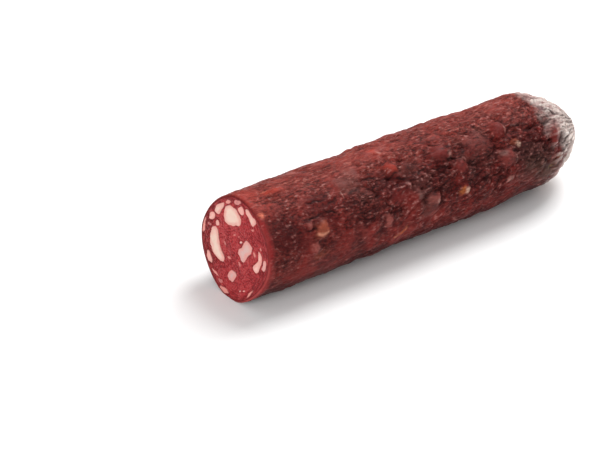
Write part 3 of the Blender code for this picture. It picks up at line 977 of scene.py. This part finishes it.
def meat_material():
    m = Nodes("cut_meat")
    fat = m.attribute("fat")
    mottle = m.attribute("mottle")
    fine = m.noise(m.place, 680.0, 2.5, 0.55, 0.5)
    veins = m.noise(m.place, 380.0, 3.0, 0.55, 0.8)
    cloud = m.noise(m.place, 120.0, 2.0, 0.5)

    lean = m.mix(m.span(cloud, 0.36, 0.64), LEAN_DEEP, LEAN_RED)
    lean = m.mix(m.span(mottle, 0.48, 0.85, 0.0, 0.70), lean, LEAN_PINK)
    lean = m.mix(m.span(fine, 0.46, 0.68, 0.0, 0.45), lean, LEAN_PINK)
    vein = m.span(m.math("ABSOLUTE", m.math("SUBTRACT", veins, 0.5)), 0.0, 0.030, 0.50, 0.0)
    lean = m.mix(m.math("MULTIPLY", vein, m.span(mottle, 0.45, 0.85)), lean, LEAN_VEIN)
    lean = m.mix(m.span(mottle, 0.46, 0.10, 0.0, 0.75), lean, LEAN_DARK)
    margin_and_shadow = m.attribute("margin_and_shadow")
    # darker towards the rim, with a painted shadow on one side
    lean = m.mix(m.math("MULTIPLY", margin_and_shadow, m.span(mottle, 0.30, 0.95, 0.92, 0.35)), lean, LEAN_MARGIN_AND_SHADOW)
    fat_tint = m.attribute("fat_colour", True)
    fat_colour = m.mix(m.attribute("fat_depth"), m.mix(0.75, fat_tint, FAT_EDGE), fat_tint)
    fat_colour = m.mix(m.span(veins, 0.42, 0.72, 0.0, 0.45), fat_colour, m.mix(0.5, fat_tint, FAT_SHADE))
    colour = m.mix(m.span(fat, 0.08, 0.72), lean, fat_colour)
    # painted shade in the crevices round the fat
    colour = m.mix(m.math("MULTIPLY", m.attribute("crevice"), 0.42), colour, LEAN_CREVICE_SHADE)
    m.link(colour, m.shader.inputs["Base Color"])
    rough = m.span(fine, 0.25, 0.75, 0.26, 0.48, False)
    m.link(m.math("ADD", rough, m.math("MULTIPLY", fat, 0.06)), m.shader.inputs["Roughness"])
    height = m.math("ADD", m.math("MULTIPLY", fine, 0.8), m.math("MULTIPLY", veins, 0.35))
    height = m.math("MULTIPLY", height, m.span(fat, 0.2, 0.9, 1.0, 0.3))
    m.link(m.bump(height, 0.7, 0.00035), m.shader.inputs["Normal"])
    m.shader.inputs["IOR"].default_value = 1.45
    m.shader.inputs["Specular IOR Level"].default_value = 0.13
    m.shader.inputs["Subsurface Weight"].default_value = 0.12
    m.shader.inputs["Subsurface Radius"].default_value = (0.0020, 0.0006, 0.0004)
    m.shader.inputs["Subsurface Scale"].default_value = 1.0
    return m.material


SKIN_DARK = (0.058, 0.0042, 0.0042)
SKIN_RED = (0.165, 0.0130, 0.0105)
SKIN_LIGHT = (0.260, 0.0480, 0.0380)
SKIN_UPPER_LIT = (0.255, 0.0350, 0.0255)
SKIN_LIT_STREAK = (0.400, 0.1200, 0.0920)
SKIN_CUT_GLOW = (0.400, 0.0520, 0.0380)
SKIN_EDGE = (0.230, 0.0130, 0.0140)
SKIN_BLOOM = (0.125, 0.062, 0.052)
SKIN_PALE_AND_HIGHLIGHT = (0.480, 0.215, 0.190)
SKIN_PAINTED_SHADE = (0.018, 0.0025, 0.0028)
SKIN_CRACK_SHADE = (0.009, 0.0016, 0.0020)
END_PALE = (0.84, 0.74, 0.68)
END_GREY = (0.63, 0.52, 0.48)
END_MAUVE = (0.55, 0.33, 0.32)
END_PAINTED_SHADE = (0.220, 0.125, 0.115)
RIM_RED = (0.175, 0.0080, 0.0085)
RIM_GLOW = (0.38, 0.066, 0.062)
RIM_DARK = (0.10, 0.0030, 0.0045)
LEAN_RED = (0.33, 0.026, 0.030)
LEAN_DEEP = (0.235, 0.014, 0.018)
LEAN_PINK = (0.40, 0.043, 0.046)
LEAN_VEIN = (0.52, 0.125, 0.11)
LEAN_DARK = (0.15, 0.006, 0.009)
LEAN_CREVICE_SHADE = (0.070, 0.003, 0.005)
LEAN_MARGIN_AND_SHADOW = (0.085, 0.0016, 0.0022)
FAT_SHADE = (0.58, 0.33, 0.27)
FAT_EDGE = (0.66, 0.25, 0.22)


# ---------------------------------------------------------------- floor, lights and camera
def make_floor():
    mesh = bpy.data.meshes.new("floor")
    mesh.from_pydata([(-4, -4, 0), (4, -4, 0), (4, 4, 0), (-4, 4, 0)], [], [(0, 1, 2, 3)])
    floor = bpy.data.objects.new("floor", mesh)
    bpy.context.scene.collection.objects.link(floor)
    m = Nodes("floor_white")
    m.link(m.mix(m.noise(m.place, 3.0, 2.0, 0.5), (0.86, 0.86, 0.86), (0.88, 0.88, 0.88)), m.shader.inputs["Base Color"])
    m.shader.inputs["Roughness"].default_value = 0.9
    m.shader.inputs["Specular IOR Level"].default_value = 0.0
    mesh.materials.append(m.material)
    return floor


def make_light(name, place, target, size, power, colour=(1.0, 1.0, 1.0), size_y=None):
    data = bpy.data.lights.new(name, "AREA")
    data.shape = "RECTANGLE"
    data.size = size
    data.size_y = size_y or size
    data.energy = power
    data.color = colour
    light = bpy.data.objects.new(name, data)
    light.location = place
    light.rotation_euler = (Vector(target) - Vector(place)).to_track_quat("-Z", "Y").to_euler()
    bpy.context.scene.collection.objects.link(light)
    return light


# The camera, fitted to the outline of the stick and of its cut face.
CAMERA_AZIMUTH = -34.979
CAMERA_ELEVATION = 32.0
CAMERA_DISTANCE = 950.0
CAMERA_TARGET = (34.847, -0.582, RADIUS - SINK)
CAMERA_LENS = 2115.05 / 600 * 36


def make_camera():
    a, e = math.radians(CAMERA_AZIMUTH), math.radians(CAMERA_ELEVATION)
    back = Vector((math.sin(a) * math.cos(e), -math.cos(a) * math.cos(e), math.sin(e)))
    right = Vector((math.cos(a), math.sin(a), 0.0))
    up = back.cross(right)
    data = bpy.data.cameras.new("camera")
    data.sensor_fit = "HORIZONTAL"
    data.sensor_width = 36
    data.lens = CAMERA_LENS
    data.clip_start = 0.01
    data.clip_end = 30
    camera = bpy.data.objects.new("camera", data)
    target = Vector(((np.array(CAMERA_TARGET) - MIDDLE) * MM).tolist())
    place = target + back * CAMERA_DISTANCE * MM
    camera.matrix_world = Matrix.Translation(place) @ Matrix((right, up, back)).transposed().to_4x4()
    bpy.context.scene.collection.objects.link(camera)
    bpy.context.scene.camera = camera


def make_world(strength):
    world = bpy.data.worlds.new("studio")
    bpy.context.scene.world = world
    world.use_nodes = True
    shader = next(node for node in world.node_tree.nodes if node.type == "BACKGROUND")
    shader.inputs["Color"].default_value = (1.0, 1.0, 1.0, 1.0)
    shader.inputs["Strength"].default_value = strength


make_camera()
make_world(0.52)
make_light("key", (0.55, 0.22, 0.90), (0.0, 0.0, 0.02), 0.60, 12.5)
make_light("fill_left", (-0.95, -0.40, 0.45), (-0.05, 0.0, 0.02), 0.5, 6.0)
bpy.context.scene.view_settings.view_transform = "Standard"
bpy.context.scene.view_settings.look = "None"

floor = make_floor()
casing = make_skin()
casing.data.materials.append(skin_material())
cut_face = make_cut_face()
cut_face.data.materials.append(meat_material())
for piece, slot in ((casing, "skin"), (cut_face, "cut_meat")):
    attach(piece, "root")
    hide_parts("sausage")
